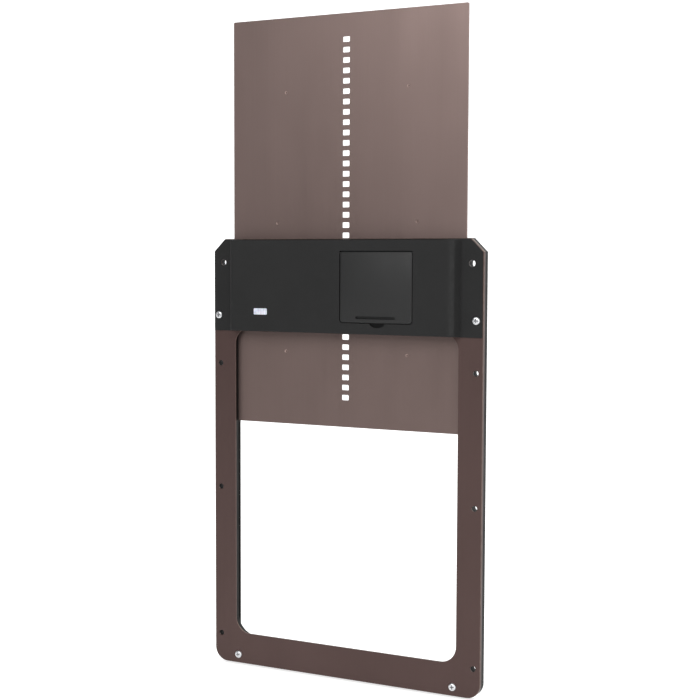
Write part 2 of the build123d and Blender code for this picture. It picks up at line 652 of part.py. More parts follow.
with BuildPart() as output_gear:
    gear_slice(WHEEL, TOOTH_ON_LINE, AXLE, -7.2, -5.4, SHAFT_R + 0.02)
write(output_gear.part, "output_gear")

with BuildPart() as second_gear:
    gear_slice(WHEEL, WHEEL_GAP_ON_LINE, IDLER, -9.4, -7.8, TAIL_R + 0.05)
    gear_slice(PINION, PINION_GAP_ON_LINE, IDLER, -7.8, -5.3, TAIL_R + 0.05)
write(second_gear.part, "second_gear")

with BuildPart() as first_gear:
    gear_slice(WHEEL, TOOTH_ON_LINE, AXLE, -11.7, -10.1, TAIL_R + 0.05)
    gear_slice(PINION, TOOTH_ON_LINE, AXLE, -10.1, -7.8, TAIL_R + 0.05)
write(first_gear.part, "first_gear")

with BuildPart() as motor_pinion:
    gear_slice(PINION, PINION_GAP_ON_LINE, IDLER, -12.0, -9.8, TAIL_R + 0.02)
write(motor_pinion.part, "motor_pinion")

with BuildPart() as motor_shaft:
    rod(-14.0, -9.7, IDLER, TAIL_R)
write(motor_shaft.part, "motor_shaft")

with BuildPart() as gear_pin:
    rod(-9.5, RIGHT_PLATE_X[1], IDLER, TAIL_R)
write(gear_pin.part, "gear_pin")

with BuildPart() as output_shaft:
    rod(-12.9, -7.5, AXLE, TAIL_R)
    rod(-7.5, 2.3, AXLE, SHAFT_R)
write(output_shaft.part, "output_shaft")

for plate_name, plate_x in (("gear_plate_left", LEFT_PLATE_X), ("gear_plate_right", RIGHT_PLATE_X)):
    is_left = plate_name.endswith("left")
    with BuildPart() as gear_plate:
        with BuildSketch(across(plate_x[0])):
            rectangle_between(PLATE_Y, PLATE_Z, 1.0)
            with Locations(AXLE):
                Circle(TAIL_R + 0.05 if is_left else 2.4, mode=Mode.SUBTRACT)
            with Locations(IDLER):
                Circle(2.0 if is_left else TAIL_R + 0.02, mode=Mode.SUBTRACT)
            with Locations(*POST_PLACES):
                Circle(POST_R + 0.02, mode=Mode.SUBTRACT)
        extrude(amount=plate_x[1] - plate_x[0])
    write(gear_plate.part, plate_name)

with BuildPart() as gear_posts:
    for post in POST_PLACES:
        rod(LEFT_PLATE_X[0], RIGHT_PLATE_X[1], post, POST_R)
write(gear_posts.part, "gear_posts")

with BuildPart() as output_bush:
    with BuildSketch(across(RIGHT_PLATE_X[0])):
        with Locations(AXLE):
            Circle(2.38)
            Circle(SHAFT_R + 0.05, mode=Mode.SUBTRACT)
    extrude(amount=RIGHT_PLATE_X[1] - RIGHT_PLATE_X[0])
    with BuildSketch(across(RIGHT_PLATE_X[1])):
        with Locations(AXLE):
            Circle(3.0)
            Circle(SHAFT_R + 0.05, mode=Mode.SUBTRACT)
    extrude(amount=0.6)
write(output_bush.part, "output_bush")

# five-toothed sprocket that drives the panel; a tooth fills the drive hole level with its axle
SPROCKET_ROOT = 5.2
SPROCKET_TIP = 8.28
TOOTH_HALF = ((SPROCKET_ROOT, 1.79), (SPROCKET_PITCH_R, 1.75), (SPROCKET_TIP, 0.85))
with BuildPart() as sprocket:
    with BuildSketch(across(-1.6)):
        with Locations(AXLE):
            Circle(SPROCKET_ROOT + 0.1)
            with PolarLocations(0, TEETH):
                tooth_side = [(math.sqrt(r**2 - h**2), h) for r, h in TOOTH_HALF]
                Polygon(*tooth_side, *[(u, -h) for u, h in reversed(tooth_side)], align=None)
            Circle(SHAFT_R + 0.02, mode=Mode.SUBTRACT)
    extrude(amount=3.2)
    with BuildSketch(across(-3.4)):
        with Locations(AXLE):
            Circle(3.2)
            Circle(SHAFT_R + 0.02, mode=Mode.SUBTRACT)
    extrude(amount=1.8)
write(sprocket.part, "sprocket")

with BuildPart() as motor_can:
    with BuildSketch(across(MOTOR_X[0])):
        with Locations(IDLER):
            Rectangle(10.0, 12.0)
            Circle(6.0, mode=Mode.INTERSECT)
    extrude(amount=MOTOR_X[1] - MOTOR_X[0])
    with BuildSketch(across(MOTOR_X[1] - 1.0)):
        with Locations(IDLER):
            Circle(TAIL_R + 0.05)
    extrude(amount=1.0, mode=Mode.SUBTRACT)
write(motor_can.part, "motor_can")

with BuildPart() as motor_end_cap:
    with BuildSketch(across(MOTOR_X[0] - 1.8)):
        with Locations(IDLER):
            Rectangle(9.6, 11.6)
            Circle(5.8, mode=Mode.INTERSECT)
    extrude(amount=1.75)
write(motor_end_cap.part, "motor_end_cap")

TERMINAL_DZ = 3.5
with BuildPart() as motor_terminals:
    with BuildSketch(across(MOTOR_X[0] - 3.8)):
        for side in (-1, 1):
            with Locations((IDLER_Y, IDLER_Z + side * TERMINAL_DZ)):
                Rectangle(1.8, 0.5)
    extrude(amount=1.95)
write(motor_terminals.part, "motor_terminals")

# sheet-steel strap over the motor, screwed to two bosses on the front wall
BRACKET_X = (-25.0, -17.0)
with BuildPart() as motor_bracket:
    with BuildSketch(across(BRACKET_X[0])):
        strap_y = (-18.0, IDLER_Y + 6.1)
        rectangle_between(strap_y, (IDLER_Z - 7.2, IDLER_Z + 7.2))
        rectangle_between((-19.0, IDLER_Y + 5.1), (IDLER_Z - 6.2, IDLER_Z + 6.2), mode=Mode.SUBTRACT)
        rectangle_between((-18.0, -17.0), (IDLER_Z - 13.2, IDLER_Z - 6.2))
        rectangle_between((-18.0, -17.0), (IDLER_Z + 6.2, IDLER_Z + 13.2))
    extrude(amount=BRACKET_X[1] - BRACKET_X[0])
    with BuildSketch(wall(-17.0)):
        with Locations(*BRACKET_SCREWS):
            Circle(1.3)
    extrude(amount=1.0, mode=Mode.SUBTRACT)
write(motor_bracket.part, "motor_bracket")


# ---- hidden fasteners: small pan heads driven forwards, and the visible frame screws -----------------
def rear_screws(places, seat_y, shank_r, length, head_h=1.0):
    """Small pan-head screws driven forwards from seat_y, one solid at each (x, z)."""
    with BuildPart() as screws:
        with BuildSketch(wall(seat_y)):
            with Locations(*places):
                Circle(2 * shank_r)
        extrude(amount=-head_h)
        fillet(screws.edges().filter_by(GeomType.CIRCLE).group_by(Axis.Y)[-1], 0.5 * head_h)
        with BuildSketch(wall(seat_y)):
            with Locations(*places):
                Circle(shank_r)
        extrude(amount=length)
    return screws.part


write(rear_screws(both_sides(BACK_SCREWS), BACK_COVER[1] + 0.02, 1.05, 8.0, 0.55), "back_cover_screws")
write(rear_screws(TRAY_SCREWS, -10.2 + 0.02, 1.05, 7.0, 0.9), "tray_screws")
write(rear_screws(PCB_SCREWS, PCB_Y[1] + 0.02, 0.85, 5.0), "board_screws")
write(rear_screws(BRACKET_SCREWS, -17.0 + 0.02, 1.05, 2.8), "bracket_screws")

SCREW_HEAD_R = 3.45
SCREW_HEAD_H = 2.0
with BuildPart() as frame_screws:
    for (screw_x, screw_z), seat in zip(SCREW_PLACES, (-DEPTH - FLANGE_T, -DEPTH)):
        places = ((-screw_x, screw_z), (screw_x, screw_z))
        add(pan_screws(places, seat - 0.02, SCREW_HEAD_R, SCREW_HEAD_H, 1.45, -seat - 0.5))
write(frame_screws.part, "frame_screws")


# ---- leads inside the header ---------------------------------------------------------------------------
def leads(routes, radius):
    """Round insulated leads, one for each route of points, with bent corners."""
    with BuildPart() as wires:
        for points in routes:
            with BuildLine() as path:
                FilletPolyline(*points, radius=1.6)
            with BuildSketch(Plane(origin=points[0], z_dir=Vector(*points[1]) - Vector(*points[0]))):
                Circle(radius)
            sweep(path=path.line)
    return wires.part


TERMINAL_X = MOTOR_X[0] - 4.0
SOCKET_X = -48.8
MOTOR_ROUTES = [
    (
        (TERMINAL_X, IDLER_Y, IDLER_Z + side * TERMINAL_DZ),
        (TERMINAL_X - 5, IDLER_Y, IDLER_Z + side * TERMINAL_DZ),
        (SOCKET_X + 6, -10.2, IDLER_Z + side * 2.0),
        (SOCKET_X, -10.2, IDLER_Z + side * 2.0),
    )
    for side in (-1, 1)
]
BATTERY_ROUTES = [
    (
        (3.2, -10.2, FOOT + 371.0 + rise),
        (-14.0, -10.2, FOOT + 371.0 + rise),
        (-30.0, -10.2, FOOT + 361.4 + rise),
        (SOCKET_X, -10.2, FOOT + 361.4 + rise),
    )
    for rise in (0.0, 3.6)
]
write(leads(MOTOR_ROUTES, 0.65), "motor_leads")
write(leads(BATTERY_ROUTES, 0.65), "battery_leads")
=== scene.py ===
"""Automatic coop door: finishes, small formed pieces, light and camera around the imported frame."""

import math

import bpy
import numpy as np
from mathutils import Matrix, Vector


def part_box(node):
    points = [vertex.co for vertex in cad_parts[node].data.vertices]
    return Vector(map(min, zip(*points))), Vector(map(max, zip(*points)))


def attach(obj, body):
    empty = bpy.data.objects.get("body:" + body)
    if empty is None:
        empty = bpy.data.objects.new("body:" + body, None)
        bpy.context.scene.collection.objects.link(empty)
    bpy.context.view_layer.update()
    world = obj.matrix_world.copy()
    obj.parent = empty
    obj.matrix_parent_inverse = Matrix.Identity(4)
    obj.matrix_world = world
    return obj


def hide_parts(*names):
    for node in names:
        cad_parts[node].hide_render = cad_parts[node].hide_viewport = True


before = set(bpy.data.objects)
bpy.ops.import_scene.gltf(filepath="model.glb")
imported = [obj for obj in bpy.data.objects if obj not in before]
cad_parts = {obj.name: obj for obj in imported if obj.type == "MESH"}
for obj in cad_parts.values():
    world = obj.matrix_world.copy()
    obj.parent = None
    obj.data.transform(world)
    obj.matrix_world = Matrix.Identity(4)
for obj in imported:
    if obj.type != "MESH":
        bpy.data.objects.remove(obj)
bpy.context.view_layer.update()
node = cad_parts


# ---- Studio -------------------------------------------------------------------------------------
# A pale sweep that turns up into a wall behind the door, two broad soft lights above the front, one
# from the right and one for the sweep, and the camera to the right of the door.
def surface_piece(name, grid, close_rows=False, close_columns=False):
    """A mesh from a grid of points, shape (rows, columns, 3): one quad between each four neighbours.
    Closing rows or columns joins the last line of points to the first."""
    rows, columns = grid.shape[:2]
    row = np.arange(rows if close_rows else rows - 1)[:, None]
    column = np.arange(columns if close_columns else columns - 1)[None, :]
    next_row, next_column = (row + 1) % rows, (column + 1) % columns
    quads = np.stack(
        [
            row * columns + column,
            row * columns + next_column,
            next_row * columns + next_column,
            next_row * columns + column,
        ],
        axis=-1,
    ).reshape(-1, 4)
    mesh = bpy.data.meshes.new(name)
    mesh.from_pydata(grid.reshape(-1, 3), [], quads)
    mesh.update()
    mesh.polygons.foreach_set("use_smooth", np.ones(len(mesh.polygons), dtype=bool))
    piece = bpy.data.objects.new(name, mesh)
    bpy.context.scene.collection.objects.link(piece)
    return piece


FLOOR_Z = -0.1531
SWEEP_Y = 0.75
SWEEP_R = 0.6
SWEEP_FRONT_Y = -4.0
SWEEP_TOP_Z = 4.0
SWEEP_HALF_X = 5.0
turn = np.linspace(0, math.pi / 2, 24)
sweep_y = np.concatenate([[SWEEP_FRONT_Y], SWEEP_Y + SWEEP_R * np.sin(turn), [SWEEP_Y + SWEEP_R]])
sweep_z = np.concatenate([[FLOOR_Z], FLOOR_Z + SWEEP_R * (1 - np.cos(turn)), [SWEEP_TOP_Z]])
sweep_side = np.stack([np.full_like(sweep_y, -SWEEP_HALF_X), sweep_y, sweep_z], -1)
sweep_grid = np.stack([sweep_side, sweep_side + [2 * SWEEP_HALF_X, 0, 0]])
sweep = surface_piece("studio_sweep", sweep_grid)


def new_material(name):
    """A node material and its tree with a Principled shader ready for inputs."""
    material = bpy.data.materials.new(name)
    material.use_nodes = True
    return material, material.node_tree, material.node_tree.nodes["Principled BSDF"].inputs


paper, paper_tree, paper_in = new_material("studio_paper")
paper_in["Base Color"].default_value = (0.6, 0.6, 0.6, 1)
paper_in["Roughness"].default_value = 0.9
paper_in["Emission Color"].default_value = (1, 1, 1, 1)
paper_point = paper_tree.nodes.new("ShaderNodeTexCoord").outputs["Object"]
paper_parts = paper_tree.nodes.new("ShaderNodeSeparateXYZ")
paper_tree.links.new(paper_point, paper_parts.inputs[0])
paper_glow = paper_tree.nodes.new("ShaderNodeMapRange")
paper_tree.links.new(paper_parts.outputs["Y"], paper_glow.inputs["Value"])
paper_glow.inputs["From Min"].default_value = -1.4
paper_glow.inputs["From Max"].default_value = 0.2
paper_glow.inputs["To Min"].default_value = 0.15
paper_glow.inputs["To Max"].default_value = 0.7
paper_tree.links.new(paper_glow.outputs[0], paper_in["Emission Strength"])
sweep.data.materials.append(paper)


def soft_light(name, place, aim, size, power):
    """A square area light at place, turned to face aim."""
    data = bpy.data.lights.new(name, "AREA")
    data.size = size
    data.energy = power
    lamp = bpy.data.objects.new(name, data)
    offset = np.subtract(aim, place)
    lamp.location = place
    lamp.rotation_euler = (
        math.acos(-offset[2] / np.linalg.norm(offset)),
        0,
        math.atan2(offset[1], offset[0]) - math.pi / 2,
    )
    bpy.context.scene.collection.objects.link(lamp)


soft_light("key_light", (0.8, -1.6, 1.3), (0, 0, 0.15), 1.3, 13)
soft_light("front_light", (-0.3, -2.1, 1.24), (0, 0, 0.4), 1.3, 30)
soft_light("right_light", (2.3, -0.8, 0.6), (0, 0, 0.1), 1.4, 22)
soft_light("sweep_light", (0.2, 0.95, 3.0), (0, 1.05, 0.2), 1.8, 46)

world = bpy.data.worlds.new("studio_air")
world.use_nodes = True
world.node_tree.nodes["Background"].inputs["Color"].default_value = (0.95, 0.97, 1.0, 1)
world.node_tree.nodes["Background"].inputs["Strength"].default_value = 0.26
bpy.context.scene.world = world
bpy.context.scene.view_settings.view_transform = "Standard"

CAMERA_TURN, CAMERA_TILT, CAMERA_ROLL = (math.radians(angle) for angle in (26.36, 86.18, 0.2))
camera_data = bpy.data.cameras.new("camera")
camera_data.lens = 69.33
camera_data.sensor_width = 36.0
camera_data.clip_start = 0.02
camera = bpy.data.objects.new("camera", camera_data)
camera.location = (0.5281, -1.0598, 0.2198)
aim = Matrix.Rotation(CAMERA_TURN, 3, "Z") @ Matrix.Rotation(CAMERA_TILT, 3, "X")
camera.rotation_euler = (aim @ Matrix.Rotation(CAMERA_ROLL, 3, "Z")).to_euler()
bpy.context.scene.collection.objects.link(camera)
bpy.context.scene.camera = camera


# ---- Front frame --------------------------------------------------------------------------------
# One sheet of aluminium, returned round its outer edge and coated satin brown.  The coating carries a fine
# orange-peel grain and faint rolling lines; its rounded edges are paler, partly rubbed thin, partly a
# painted highlight.
def add_node(tree, kind, settings=None, **sockets):
    """Adds a node; settings are its properties and sockets its inputs, given as values or outputs."""
    made = tree.nodes.new(kind)
    for key, value in (settings or {}).items():
        setattr(made, key, value)
    for key, value in sockets.items():
        socket = made.inputs[int(key[1:]) if key[0] == "i" and key[1:].isdigit() else key]
        if isinstance(value, bpy.types.NodeSocket):
            tree.links.new(value, socket)
        else:
            socket.default_value = value
    return made


def object_point(tree, stretch=(1, 1, 1)):
    """The piece's own coordinates in metres, each axis multiplied by stretch."""
    place = add_node(tree, "ShaderNodeTexCoord").outputs["Object"]
    return add_node(tree, "ShaderNodeMapping", Vector=place, Scale=stretch).outputs["Vector"]


def noise(tree, scale, detail=3.0, stretch=(1, 1, 1), roughness=0.5):
    """Fractal noise of the piece's own coordinates, 0 to 1 about 0.5."""
    return add_node(
        tree,
        "ShaderNodeTexNoise",
        Vector=object_point(tree, stretch),
        Scale=scale,
        Detail=detail,
        Roughness=roughness,
    ).outputs["Fac"]


def mapped(tree, value, low, high, to_low=0.0, to_high=1.0, smooth=False):
    """Carries value from the span low..high to to_low..to_high, held at the ends."""
    settings = {"clamp": True, "interpolation_type": "SMOOTHSTEP" if smooth else "LINEAR"}
    made = add_node(tree, "ShaderNodeMapRange", settings, i0=value, i1=low, i2=high, i3=to_low, i4=to_high)
    return made.outputs[0]


def maths(tree, operation, *values):
    """A Math node on one to three values."""
    sockets = {f"i{k}": value for k, value in enumerate(values)}
    return add_node(tree, "ShaderNodeMath", {"operation": operation}, **sockets).outputs[0]


def mixed(tree, amount, first, second):
    """Blends two colours; amount 0 gives the first."""
    made = add_node(tree, "ShaderNodeMix", {"data_type": "RGBA"}, i0=amount, i6=first, i7=second)
    return made.outputs[2]


def raised(tree, height, distance, normal=None, strength=1.0):
    """A bump of height, where height 1 stands distance metres proud."""
    sockets = {"Height": height, "Distance": distance, "Strength": strength}
    if normal is not None:
        sockets["Normal"] = normal
    return add_node(tree, "ShaderNodeBump", **sockets).outputs["Normal"]


def rounded_edge(tree):
    """1 on fillets, chamfers and round walls, 0 on faces square to an axis: 1 - max|normal| times 6."""
    normal = add_node(tree, "ShaderNodeTexCoord").outputs["Normal"]
    parts = add_node(tree, "ShaderNodeSeparateXYZ", Vector=normal).outputs
    x, y, z = (maths(tree, "ABSOLUTE", part) for part in parts)
    return mapped(tree, maths(tree, "MAXIMUM", maths(tree, "MAXIMUM", x, y), z), 0.985, 0.85)


def rgb(red, green, blue):
    """A display colour, 0 to 255, as the linear colour that a shader takes."""
    shares = np.array([red, green, blue]) / 255
    linear = np.where(shares <= 0.04045, shares / 12.92, ((shares + 0.055) / 1.055) ** 2.4)
    return (*linear.tolist(), 1)


def coated_sheet(name, base, dull, bare, metal, rough, specular=0.25):
    """Coated aluminium: clouded colour, rolling lines along Z, peel grain, and paler rounded edges, partly
    rubbed and partly a painted highlight.
    """
    material, tree, shader = new_material(name)
    cloud = mapped(tree, noise(tree, 9.0, 4.0, (1.0, 1.0, 0.6)), 0.3, 0.7)
    lines = noise(tree, 60.0, 4.0, (9.0, 9.0, 0.12), 0.6)
    tone = maths(tree, "MULTIPLY_ADD", lines, 0.35, maths(tree, "MULTIPLY", cloud, 0.65))
    colour = mixed(tree, tone, dull, base)
    # Rounded edges take the bare colour: partly rubbed wear, partly a painted highlight.
    patchy = mapped(tree, noise(tree, 240.0), 0.3, 0.7, 0.35, 1.0)
    edge_wear_and_highlight = maths(tree, "MULTIPLY", rounded_edge(tree), patchy)
    tree.links.new(mixed(tree, edge_wear_and_highlight, colour, bare), shader["Base Color"])
    shader["Metallic"].default_value = metal
    shader["Specular IOR Level"].default_value = specular
    gloss = mapped(tree, noise(tree, 30.0, 5.0, (1, 1, 0.25)), 0.3, 0.7, rough - 0.05, rough + 0.06)
    tree.links.new(gloss, shader["Roughness"])
    peel = raised(tree, noise(tree, 1400.0, 2.0), 0.00003)
    tree.links.new(raised(tree, lines, 0.00004, peel), shader["Normal"])
    return material


def dress(material, *names):
    """Gives CAD nodes a finish."""
    for name in names:
        mesh = node[name].data
        mesh.materials.clear()
        mesh.materials.append(material)


# The third colour is for rounded edges: partly rubbed coating, partly a painted highlight.
frame_brown = coated_sheet("frame_brown", rgb(78, 61, 58), rgb(70, 54, 51), rgb(112, 97, 89), 0.4, 0.42)
dress(frame_brown, "front_frame")


# ---- Lifting panel ------------------------------------------------------------------------------
# Aluminium sheet, anodised brown, with a column of punched drive holes and six pressed dimples.  It is
# a shade lighter than the frame; its rounded edges are paler, partly rubbed by the guide grooves, partly a
# painted highlight.
# The third colour is for rounded edges: partly rubbed wear, partly a painted highlight.
panel_brown = coated_sheet("panel_brown", rgb(111, 95, 91), rgb(101, 86, 82), rgb(146, 126, 119), 0.6, 0.38)
dress(panel_brown, "door_panel")


# ---- Guide rails, sill and rear bridge ----------------------------------------------------------
# Black moulded plastic rails and sill, closed behind the panel by a plated steel strip.
def moulded(name, base, pale, rough, grain=0.00003, grain_scale=1500.0, specular=0.4):
    """Moulded plastic: spark-eroded grain, slight clouding, and paler rounded corners, partly worn and
    partly a painted highlight.
    """
    material, tree, shader = new_material(name)
    cloud = mapped(tree, noise(tree, 14.0, 4.0), 0.3, 0.7)
    # Rounded corners take the pale colour: partly wear, partly a painted highlight.
    corner_wear_and_highlight = maths(tree, "MULTIPLY", rounded_edge(tree), mapped(tree, noise(tree, 180.0), 0.35, 0.7, 0.2, 0.8))
    colour = mixed(tree, cloud, tuple(0.88 * c for c in base[:3]) + (1,), base)
    tree.links.new(mixed(tree, corner_wear_and_highlight, colour, pale), shader["Base Color"])
    gloss = mapped(tree, noise(tree, 40.0, 5.0), 0.3, 0.7, rough - 0.05, rough + 0.07)
    tree.links.new(gloss, shader["Roughness"])
    shader["Specular IOR Level"].default_value = specular
    tree.links.new(raised(tree, noise(tree, grain_scale, 2.0), grain), shader["Normal"])
    return material


rail_black = moulded("rail_black", rgb(16, 15, 14), rgb(38, 36, 35), 0.55, specular=0.14)
dress(rail_black, "left_guide_rail", "right_guide_rail", "bottom_sill")


def plated(name, base, dark, rough, crystal=700.0):
    """Bright plated steel: small crystal cells of slightly different tone, with fine scratches."""
    material, tree, shader = new_material(name)
    cells = add_node(
        tree, "ShaderNodeTexVoronoi", {"feature": "F1"}, Vector=object_point(tree), Scale=crystal
    ).outputs["Color"]
    grey = add_node(tree, "ShaderNodeSeparateColor", Color=cells).outputs[0]
    scratch = noise(tree, 900.0, 3.0, (1, 1, 0.05))
    tone = maths(tree, "MULTIPLY_ADD", scratch, 0.4, maths(tree, "MULTIPLY", grey, 0.5))
    tree.links.new(mixed(tree, tone, dark, base), shader["Base Color"])
    shader["Metallic"].default_value = 1.0
    tree.links.new(mapped(tree, tone, 0.0, 1.0, rough - 0.06, rough + 0.1), shader["Roughness"])
    tree.links.new(raised(tree, scratch, 0.00001), shader["Normal"])
    return material


zinc = plated("zinc_plate", (0.93, 0.93, 0.94, 1), (0.74, 0.75, 0.77, 1), 0.36)
dress(
    zinc, "bridge_screws", "contact_plates", "motor_bracket", "back_cover_screws", "tray_screws",
    "board_screws", "bracket_screws",
)
bridge_zinc = plated("bridge_zinc", (0.42, 0.43, 0.45, 1), (0.26, 0.27, 0.29, 1), 0.46, 110.0)
dress(bridge_zinc, "rear_bridge")


# ---- Frame screws -------------------------------------------------------------------------------
# Zinc-plated pan heads with a cross recess, two through the header's flanges and two low down.
def link_of(tree, socket):
    """The output that feeds a socket."""
    return next(link.from_socket for link in tree.links if link.to_socket == socket)


SCREW_R = 0.00345
screw_zinc = plated("screw_zinc", (0.76, 0.76, 0.77, 1), (0.58, 0.59, 0.61, 1), 0.34)
screw_tree = screw_zinc.node_tree
screw_colour = screw_tree.nodes["Principled BSDF"].inputs["Base Color"]
# Painted shade: the cross recess is darkened in step with its depth, which is stored on the points as
# recess.
recess_mark = add_node(screw_tree, "ShaderNodeAttribute", {"attribute_name": "recess"}).outputs["Fac"]
painted_recess_shade = mapped(screw_tree, recess_mark, 0.1, 0.6)
plain_zinc = link_of(screw_tree, screw_colour)
screw_tree.links.new(mixed(screw_tree, painted_recess_shade, plain_zinc, (0.26, 0.26, 0.27, 1)), screw_colour)


def screw_head(name, centre, seat_y, radius=SCREW_R, height=0.002, shank_r=0.00145, length=0.008):
    """A pan-head screw facing -Y.  Along a radius the head is a superellipse,
    height (1 - t^5)^(1/2.6), less a cross recess that is deepest in the middle."""
    t = np.linspace(0.0, 1.0, 44) ** 0.8
    angle = np.linspace(0, 2 * math.pi, 96, endpoint=False)
    across, up = t[:, None] * np.cos(angle), t[:, None] * np.sin(angle)

    def step(inside):
        """Rises smoothly from 0 to 1 as inside goes from 0 to 1."""
        s = np.clip(inside, 0, 1)
        return s * s * (3 - 2 * s)

    def slot(a, b):
        """One bar of the cross: narrow in a, long in b."""
        return step((0.14 - np.abs(a)) / 0.07) * step((0.56 - np.abs(b)) / 0.12)

    recess = np.maximum(slot(across, up), slot(up, across)) * (0.85 - 0.6 * t[:, None])
    top = height * ((1 - t**5) ** (1 / 2.6))[:, None] - 0.0016 * recess
    low_r = np.array([1.0, 0.97, shank_r / radius, shank_r / radius, 0.6 * shank_r / radius, 0.0])
    low_h = np.array([-0.00002, -0.00002, -0.00002, -length + 0.001, -length, -length])
    ring_x = np.concatenate([across, low_r[:, None] * np.cos(angle)]) * radius
    ring_z = np.concatenate([up, low_r[:, None] * np.sin(angle)]) * radius
    ring_y = seat_y - np.concatenate([top, np.broadcast_to(low_h[:, None], (6, 96))])
    grid = np.stack([centre[0] + ring_x, ring_y, centre[1] + ring_z], -1)
    piece = surface_piece(name, grid, close_columns=True)
    # The recess depth is stored on the points, and the screw finish uses it as painted shade.
    marks = piece.data.attributes.new("recess", "FLOAT", "POINT")
    marks.data.foreach_set("value", np.concatenate([recess, np.zeros((6, 96))]).ravel())
    piece.data.materials.append(screw_zinc)
    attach(piece, "frame")
    return piece


screws_low, screws_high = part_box("frame_screws")
upper_x = screws_high[0] - SCREW_R
upper_z = screws_high[2] - SCREW_R
lower_z = screws_low[2] + SCREW_R
LOWER_X = 0.106
FLANGE_T = 0.0012
sheet_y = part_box("front_frame")[0][1]
flange_y = sheet_y - FLANGE_T
screw_number = 0
for x, z, seat in ((upper_x, upper_z, flange_y), (LOWER_X, lower_z, sheet_y)):
    for side in (-1, 1):
        screw_number += 1
        head = screw_head(f"frame_screw_{screw_number}", (side * x, z), seat)
        if screw_number == 1:
            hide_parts("frame_screws")


# ---- Header housing -----------------------------------------------------------------------------
# Black moulded shell with spark-eroded grain.  Where ribs and bosses stand behind its wall the face
# has sunk a few hundredths of a millimetre while it cooled.
def sunk(tree, places, radius, normal):
    """Bumps the surface in by 0.05 mm at places (x, z): each is 1 - distance / radius, smoothed."""
    parts = add_node(tree, "ShaderNodeSeparateXYZ", Vector=object_point(tree)).outputs
    depth = 0.0
    for x, z in places:
        across = maths(tree, "SUBTRACT", parts[0], x)
        up = maths(tree, "SUBTRACT", parts[2], z)
        squares = maths(tree, "MULTIPLY_ADD", up, up, maths(tree, "MULTIPLY", across, across))
        distance = maths(tree, "SQRT", squares)
        depth = maths(tree, "SUBTRACT", depth, mapped(tree, distance, radius, 0.0, smooth=True))
    return raised(tree, depth, 0.00005, normal)


def shaded_in_recesses(material, front_y, half_x, recess_shade=rgb(9, 9, 9)):
    """Darkens recesses with painted shade: the shade grows from 0.3 to 0.9 mm behind front_y, within half_x
    of the middle.
    """
    tree = material.node_tree
    colour = tree.nodes["Principled BSDF"].inputs["Base Color"]
    parts = add_node(tree, "ShaderNodeSeparateXYZ", Vector=object_point(tree)).outputs
    deep = mapped(tree, parts[1], front_y + 0.0003, front_y + 0.0009, smooth=True)
    inside = maths(tree, "LESS_THAN", maths(tree, "ABSOLUTE", parts[0]), half_x)
    tree.links.new(mixed(tree, maths(tree, "MULTIPLY", deep, inside), link_of(tree, colour), recess_shade), colour)


header_low, header_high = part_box("header_housing")
shaft_z = (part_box("output_shaft")[0][2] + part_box("output_shaft")[1][2]) / 2
header_black = moulded("header_black", rgb(35, 35, 35), rgb(42, 42, 42), 0.66, 0.00004, 1300.0, 0.12)
header_tree = header_black.node_tree
header_normal = header_tree.nodes["Principled BSDF"].inputs["Normal"]
sinks = [(x, z) for x in (-0.1001, -0.021, 0.0905) for z in (header_low[2] + 0.012, header_high[2] - 0.0085)]
sinks += [(-0.0922, shaft_z + 0.0274), (-0.0483, shaft_z + 0.0274), (-0.0922, shaft_z - 0.0281)]
sinks += [(-0.0483, shaft_z - 0.0281), (-0.021, shaft_z + 0.0058), (-0.021, shaft_z - 0.0194)]
header_tree.links.new(sunk(header_tree, sinks, 0.0045, link_of(header_tree, header_normal)), header_normal)
# Painted shade: the shell is darkened wherever it lies more than 0.3 mm behind its front face, inside the
# flanges.
shaded_in_recesses(header_black, header_low[1], 0.1)
dress(header_black, "header_housing")


# ---- Battery cover ------------------------------------------------------------------------------
# A smoother moulding than the housing, very slightly crowned, hinged on two pins at its top corners.
# A finger pushes down in its groove to free the bead below it.
cover_low, cover_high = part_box("battery_cover")
cover_black = moulded("cover_black", rgb(32, 32, 32), rgb(42, 42, 42), 0.5, 0.00002, 1700.0, 0.26)
cover_tree = cover_black.node_tree
cover_parts = add_node(cover_tree, "ShaderNodeSeparateXYZ", Vector=object_point(cover_tree)).outputs
crown = 1.0
for part, axis in ((cover_parts[0], 0), (cover_parts[2], 2)):
    middle, half = (cover_low[axis] + cover_high[axis]) / 2, (cover_high[axis] - cover_low[axis]) / 2
    share = mapped(cover_tree, part, middle - half, middle + half, -1.0, 1.0)
    crown = maths(cover_tree, "SUBTRACT", crown, maths(cover_tree, "MULTIPLY", share, share))
cover_normal = cover_tree.nodes["Principled BSDF"].inputs["Normal"]
crowned = raised(cover_tree, crown, 0.0024, link_of(cover_tree, cover_normal))
cover_tree.links.new(crowned, cover_normal)
# Painted shade: the groove and the cover's edges are darkened where they lie more than 0.3 mm behind its
# front face.
shaded_in_recesses(cover_black, cover_low[1], 0.1)
dress(cover_black, "battery_cover")


